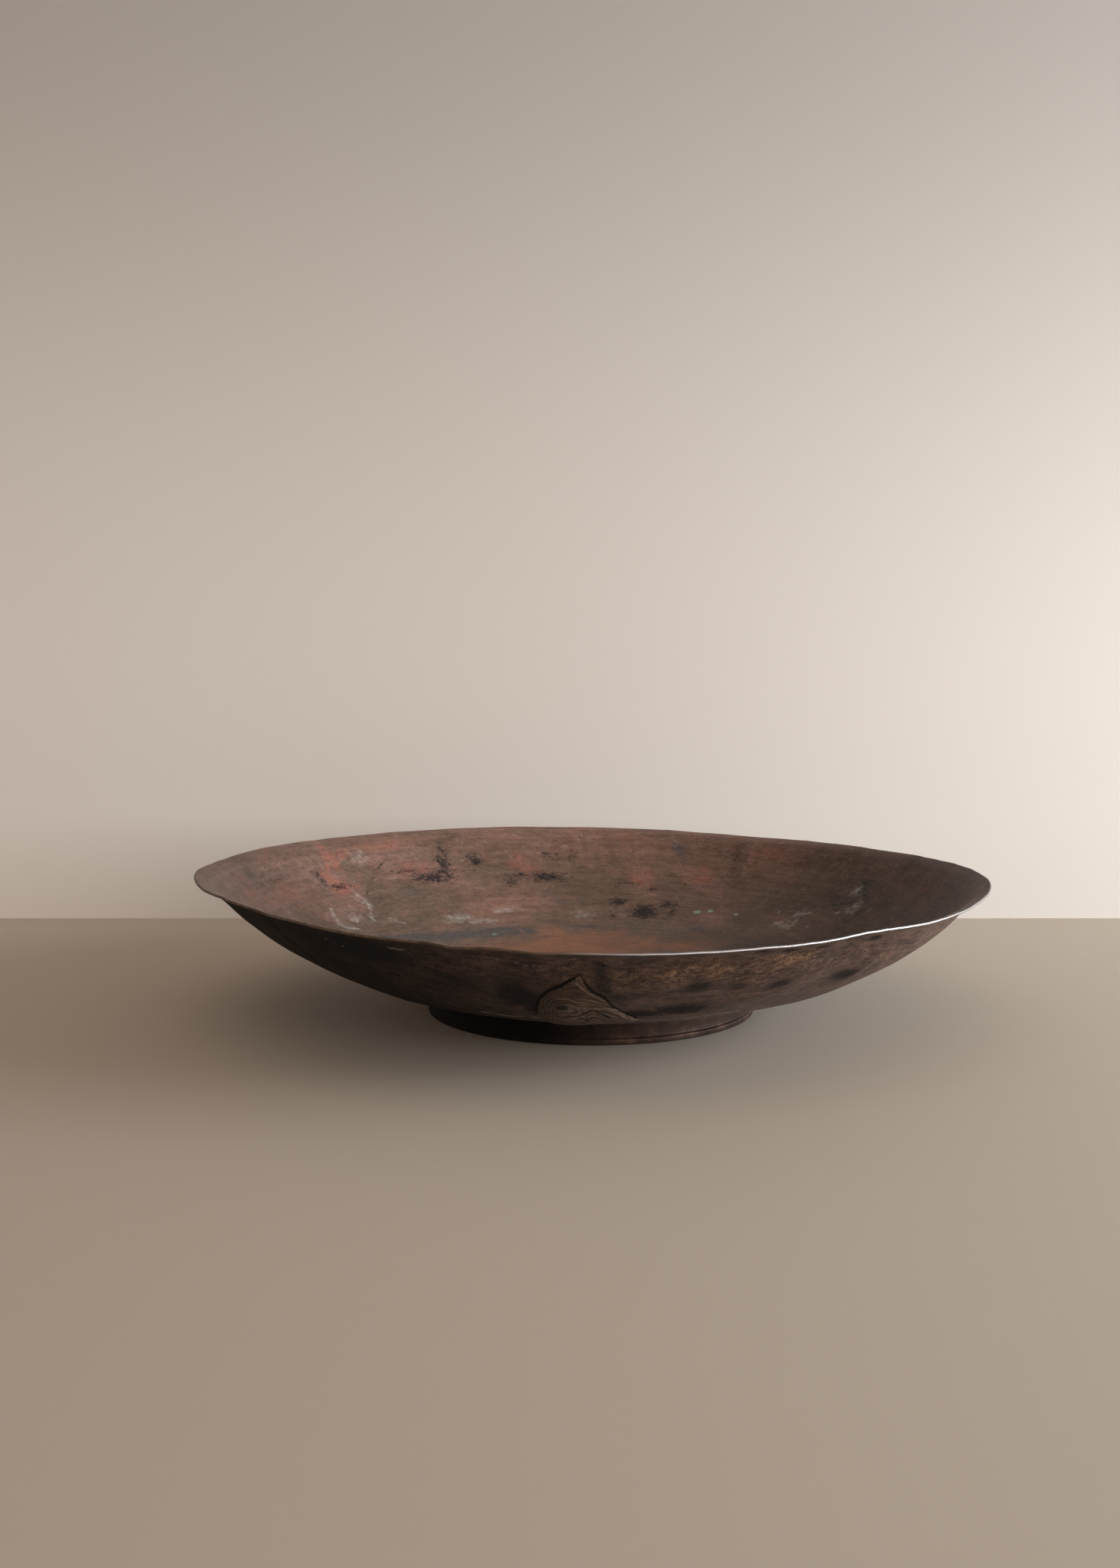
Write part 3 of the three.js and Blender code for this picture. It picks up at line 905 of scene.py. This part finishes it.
def edge_wear_and_highlight(azimuth):
    """Where the rim's edge is worn and painted with a highlight, from 0 to 1."""
    return np.interp(turned(azimuth, 0), *zip(*EDGE_WEAR_AND_HIGHLIGHT), left=0, right=0)


def bowl_body():
    """The raised sheet: outside, rounded cut edge and inside."""
    share, angle, quads, rim = disc_grid(BOWL_STEPS)
    along = share * WALL_LENGTH
    outer, outer_numbers = bowl_side(angle, along, inside=False)
    inner, inner_numbers = bowl_side(angle, along, inside=True)
    count = len(share)
    rim_angle = angle[rim]
    bends = sheet_bends(rim_angle, along[rim])
    edge = [wall_place(rim_angle, WALL_LENGTH + far, bends - SHEET * depth) for depth, far, _ in EDGE_ROWS]
    edge_loops = [2 * count + row * len(rim) + np.arange(len(rim)) for row in range(len(EDGE_ROWS))]
    strip = ring_quads([rim, *edge_loops, rim + count])
    faces = np.concatenate([quads[:, ::-1], quads + count, strip])
    kinds = np.repeat([1, 0, 2], [len(quads), len(quads), len(strip)])
    numbers = {}
    for key, values in inner_numbers.items():
        numbers[key] = np.concatenate([outer_numbers[key], values] + [values[rim]] * len(EDGE_ROWS))
    # The edge's wear and painted highlight, strongest in its middle rows.
    worn_and_highlight = [edge_wear_and_highlight(rim_angle) * highlight_wear for _, _, highlight_wear in EDGE_ROWS]
    numbers["polish_and_highlight"] = np.concatenate([np.zeros(2 * count), *worn_and_highlight])
    points = np.concatenate([outer, inner, *edge])
    materials = [copper_inside(), copper_outside(), copper_edge()]
    piece = make_piece("bowl_body_hammered", points, faces, numbers, materials, kinds)
    place_piece(piece, "bowl_body")


def turned_ring(name, section, steps, shape, material, numbers):
    """A ring with a closed section of (radius, height) points, each place then moved by shape."""
    radius, height = (np.array(values)[:, None] for values in zip(*section))
    radius, height, azimuth = np.broadcast_arrays(radius, height, np.arange(steps) * 360 / steps)
    radius, height = shape(radius, height, azimuth)
    points = place_at(azimuth, radius, height).reshape(-1, 3)
    rows = [row * steps + np.arange(steps) for row in range(len(section))]
    faces = ring_quads([*rows, rows[0]])
    layers = {key: values(radius, height, azimuth).ravel() for key, values in numbers.items()}
    layers["polar"] = polar(azimuth, height + FLAT_FLOOR).reshape(-1, 3)
    return make_piece(name, points, faces, layers, [material])


def round_corners(corners, radius=0.4, steps=4):
    """A closed outline with its corners rounded off."""
    corners = np.asarray(corners, float)
    outline = []
    for before, corner, after in zip(np.roll(corners, 1, 0), corners, np.roll(corners, -1, 0)):
        to_before, to_after = before - corner, after - corner
        cut = min(radius, 0.45 * np.linalg.norm(to_before), 0.45 * np.linalg.norm(to_after))
        start = corner + to_before / np.linalg.norm(to_before) * cut
        end = corner + to_after / np.linalg.norm(to_after) * cut
        for share in np.linspace(0, 1, steps):
            outline.append((1 - share) ** 2 * start + 2 * share * (1 - share) * corner + share**2 * end)
    return outline


def foot_ring():
    """The bent strip with its hemmed bead, its lapped ends at the back and its small knocks."""
    outside = FOOT_RADIUS - FOOT_BEAD
    inside = outside - FOOT_STRIP
    # The floor is flat there, so its distance along the wall is the radius.
    top = float(on_profile(PROFILE[:, 1], inside)) - FOOT_CLEARANCE
    # The points part way up the strip let its knocks bend it.
    corners = [
        (inside, 0), (FOOT_RADIUS, 0), (FOOT_RADIUS, BEAD_HEIGHT), (outside + 0.1, HEM_HEIGHT),
        (outside, 6.5), (outside, 10), (outside, top), (inside, top), (inside, 8),
    ]
    lap_at, lap_reach, lap_rise = FOOT_LAP

    def shape(radius, height, azimuth):
        place = place_at(azimuth, FOOT_RADIUS, height)
        push = layered(place, FOOT_KNOCKS) + 0.25 * noise(place * (1, 1, 0.2), 44, 53)
        away = turned(azimuth, lap_at)
        on_lap = (away < 0) & (radius > inside + 0.8) & (height > 0.4)
        push += lap_rise * ease(away, -lap_reach, 0) * on_lap
        on_face = (height > 0.15) & (radius > inside + 0.3)
        wobble = 0.12 * noise(place, 9, 54) * ease(height, 0.1, 1.5) * (height < 6)
        return radius + np.where(on_face, np.minimum(push, 0.9), 0), height + wobble

    def bead_share(radius, height, azimuth):
        return ease(height, 0.8, 2.2) * (1 - ease(height, 3, 4.2)) * (radius > outside - 0.2)

    # The foot's painted shade round it.
    def painted_shading(radius, height, azimuth):
        return np.interp(azimuth, *zip(*FOOT_PAINTED_SHADING), period=360)

    section = round_corners(corners)
    layers = {"bead": bead_share, "painted_shading": painted_shading}
    piece = turned_ring("foot_ring_hemmed", section, FOOT_STEPS, shape, foot_copper(), layers)
    place_piece(piece, "foot_ring")


def foot_solder():
    """The lumpy solder fillet inside the foot."""
    wall = solder_high.x / MM + GAP
    top = solder_high.z / MM + GAP
    leg = (solder_high.z - solder_low.z) / MM
    turns = np.linspace(0, math.pi / 2, 12)
    curve = [(wall - leg * math.cos(turn) ** 3, top - leg * math.sin(turn) ** 3) for turn in turns]
    section = [*curve, (wall, top)]

    def shape(radius, height, azimuth):
        swell = 1 + layered(place_at(azimuth, wall, 0), SOLDER_LUMPS)
        return wall - (wall - radius) * swell, top - (top - height) * swell

    piece = turned_ring("foot_solder_fillet", section, SOLDER_STEPS, shape, old_solder(), {})
    place_piece(piece, "foot_solder")


def patch_left(angle):
    """1 along the torn left edge of the patch, from its peak down to its lower corner, and 0 elsewhere."""
    return ease(angle, 91, 94) * (1 - ease(angle, 192, 205))


def patch_edge(angle):
    """The patch's outline as a distance from its middle, with a row of small teeth down its left edge."""
    outline = spline([*PATCH_OUTLINE, PATCH_OUTLINE[0]], 2400)
    across, up = (outline - np.asarray(PATCH_MIDDLE)).T
    bearing = np.degrees(np.arctan2(up, across)) % 360
    order = np.argsort(bearing)
    reach = np.interp(angle, bearing[order], np.hypot(across, up)[order], period=360)
    teeth = np.abs(((angle / 3.4 + 0.4 * np.sin(angle / 3)) % 1) - 0.5) * 4 - 1
    ragged = noise(np.stack([angle, 0 * angle, 0 * angle], -1), 5, 71)
    return reach + patch_left(angle) * (0.4 * teeth + 0.8 * ragged) + 0.2 * ragged


def patch_relief(across, up):
    """Ridges that run round the patch's eye and along under its tongue, from 0 to 1, and their flow."""
    plane = np.stack([across, up, 0 * up], -1)
    left, right, above, under = PATCH_EYE_REACH
    dx, dy = across - PATCH_EYE[0], up - PATCH_EYE[1]
    swirl = np.hypot(dx / np.where(dx < 0, left, right), dy / np.where(dy < 0, under, above))
    sway = 0.16 * noise(plane, 11, 72) + 0.07 * noise(plane, 4, 73)
    tongue = distance_to_line(across, up, spline(PATCH_TONGUE, 24))
    under_tongue = ease(across, -9, -1) * (up < 190)
    flow = (swirl + sway) / 0.21 * (1 - under_tongue) + (tongue / 3.2 + 3 * sway) * under_tongue
    ridges = np.abs(np.cos(flow * math.pi)) ** 0.7
    plain = ease(up, 196, 203)
    ridges = ridges * (1 - plain) + (0.5 + 0.2 * noise(plane, 6, 74)) * plain
    return ridges, np.stack([flow, across / 10, up / 10], -1)


def patch_marks(across, up):
    """The patch's worked lines, each from 0 to 1: lip, the raised band under it, fold, tangle, eye and spot.
    The band and the fold carry a painted highlight.
    """
    tongue_line = spline(PATCH_TONGUE, 24)
    from_tongue = distance_to_line(across, up, tongue_line)
    lip = near_line(across, up, PATCH_TONGUE, 0.5)
    under_lip = np.exp(-(((from_tongue - 2) / 1.3) ** 2)) * (up < np.interp(across, *tongue_line.T))
    fold_and_highlight = near_line(across, up, PATCH_FOLD, 0.55)
    tangle = np.max([near_line(across, up, line, 0.8) for line in PATCH_TANGLE], axis=0)
    eye = np.exp(-np.hypot((across - PATCH_EYE[0]) / 4.2, (up - PATCH_EYE[1]) / 4.6) ** 2)
    spot = np.exp(-np.hypot(across - PATCH_SPOT[0], up - PATCH_SPOT[1]) ** 2 / 4.4)
    return lip, under_lip, fold_and_highlight, tangle, eye, spot


def repair_patch():
    """The lapped plate low on the front wall."""
    share, angle, quads, rim = disc_grid(PATCH_STEPS)
    edge_reach = patch_edge(angle)
    across = PATCH_MIDDLE[0] + edge_reach * share * np.cos(np.radians(angle))
    up = PATCH_MIDDLE[1] + edge_reach * share * np.sin(np.radians(angle))
    inward = (1 - share) * edge_reach
    left = patch_left(angle)
    ridge, flow = patch_relief(across, up)
    lip, under_lip, fold_and_highlight, tangle, eye, spot = patch_marks(across, up)

    edge = ease(inward, 0, 1.2) * (1 - left) + ease(inward, 0, 0.4) * left
    height = PATCH_THICKNESS * (0.3 + 0.7 * edge)
    height += ((ridge - 0.5) * 0.45 + 0.3 * fold_and_highlight + 0.3 * under_lip) * ease(inward, 0.3, 3)
    height -= 0.35 * lip + 0.35 * tangle + 0.4 * eye
    right = ease(angle, 20, 40) * (1 - ease(angle, 86, 91)) * (1 - ease(inward, 0.3, 1.2))
    torn = left * (1 - ease(inward, 0.15, 0.9))
    soot = np.max([torn, 0.9 * right, 0.85 * lip, 0.9 * tangle, 0.8 * eye, 0.6 * spot], axis=0)
    azimuth = np.degrees(across / on_profile(PROFILE[:, 0], up)) - 90
    bends = sheet_bends(azimuth, up)
    upper = wall_place(azimuth, up, bends + PATCH_LIFT + np.maximum(height, PATCH_THINNEST))
    lower = wall_place(azimuth, up, bends + PATCH_LIFT)
    count = len(share)
    faces = np.concatenate([quads, quads[:, ::-1] + count, ring_quads([rim + count, rim])])
    # Painted shade: darker towards the patch's left, as on the wall round it.
    painted_shading = 0.45 + 0.6 * ease(across, -32, -6)
    # The band under the lip takes the fold's painted highlight too.
    fold_and_highlight = np.maximum(fold_and_highlight, 0.8 * under_lip)
    numbers = {"ridge": ridge, "flow": flow, "soot": soot, "fold_and_highlight": fold_and_highlight, "painted_shading": painted_shading}
    numbers = {key: np.concatenate([values, values]) for key, values in numbers.items()}
    points = np.concatenate([upper, lower])
    piece = make_piece("repair_patch_lapped", points, faces, numbers, [patch_copper()])
    place_piece(piece, "repair_patch")


# ---- The stage, the lights and the camera.


def stage_plane(name, corners, faces, color, fades=False):
    """A flat part of the room round the bowl."""
    mesh = bpy.data.meshes.new(name)
    mesh.from_pydata(corners, [], faces)
    mesh.materials.append(plain_stage(name, color, fades))
    plane = add_object(name, mesh)


def stage():
    """A plain floor, open under the foot so that light reaches the underside, and a plain wall behind."""
    turns = np.radians(np.arange(0, 360, 2.5))
    way_x, way_y = np.cos(turns), np.sin(turns)
    to_sides = ROOM / np.maximum(abs(way_x), 1e-9)
    to_ends = np.where(way_y > 0, BACK_WALL, ROOM) / np.maximum(abs(way_y), 1e-9)
    floor = [(x * HOLE_RADIUS, y * HOLE_RADIUS, 0) for x, y in zip(way_x, way_y)]
    floor += [(x * far, y * far, 0) for x, y, far in zip(way_x, way_y, np.minimum(to_sides, to_ends))]
    loop = np.arange(len(turns))
    floor_faces = ring_quads([loop, len(turns) + loop])[:, ::-1].tolist()
    foot_of_wall = [(-ROOM, BACK_WALL, 0), (ROOM, BACK_WALL, 0)]
    beyond = [*foot_of_wall, (ROOM, ROOM, 0), (-ROOM, ROOM, 0)]
    wall = [*foot_of_wall, (ROOM, BACK_WALL, ROOM), (-ROOM, BACK_WALL, ROOM)]
    stage_plane("floor", floor, floor_faces, FLOOR_COLOR)
    stage_plane("floor_beyond", beyond, [(0, 1, 2, 3)], FLOOR_COLOR)
    stage_plane("backdrop", wall, [(0, 1, 2, 3)], BACKDROP_COLOR, fades=True)


def area_light(name, place, aim, size, power, color):
    """A soft rectangular lamp that faces a point."""
    light = bpy.data.lights.new(name, "AREA")
    light.shape = "RECTANGLE"
    light.size, light.size_y = size
    light.energy = power
    light.color = color
    lamp = add_object(name, light)
    lamp.location = place
    lamp.rotation_mode = "QUATERNION"
    lamp.rotation_quaternion = (Vector(place) - Vector(aim)).to_track_quat("Z", "Y")


def lights():
    """A large soft window low on the right, weak lamps in front, above and on the left, and a warm room."""
    for lamp in LAMPS:
        area_light(*lamp)
    world = bpy.data.worlds.new("room")
    bpy.context.scene.world = world
    world.use_nodes = True
    background = world.node_tree.nodes["Background"]
    background.inputs["Color"].default_value = (*ROOM_COLOR, 1)
    background.inputs["Strength"].default_value = ROOM_STRENGTH


def camera():
    """The view of a phone held a metre away, a little above the rim."""
    data = bpy.data.cameras.new("camera")
    data.sensor_width = SENSOR
    data.lens = LENS
    data.clip_start, data.clip_end = CAMERA_RANGE
    view = add_object("camera", data)
    view.location = CAMERA_PLACE
    view.rotation_euler = (math.radians(90 - CAMERA_PITCH), 0, 0)
    bpy.context.scene.camera = view


camera()
stage()
lights()
bowl_body()
foot_ring()
foot_solder()
repair_patch()
bpy.context.scene.view_settings.view_transform = "Standard"
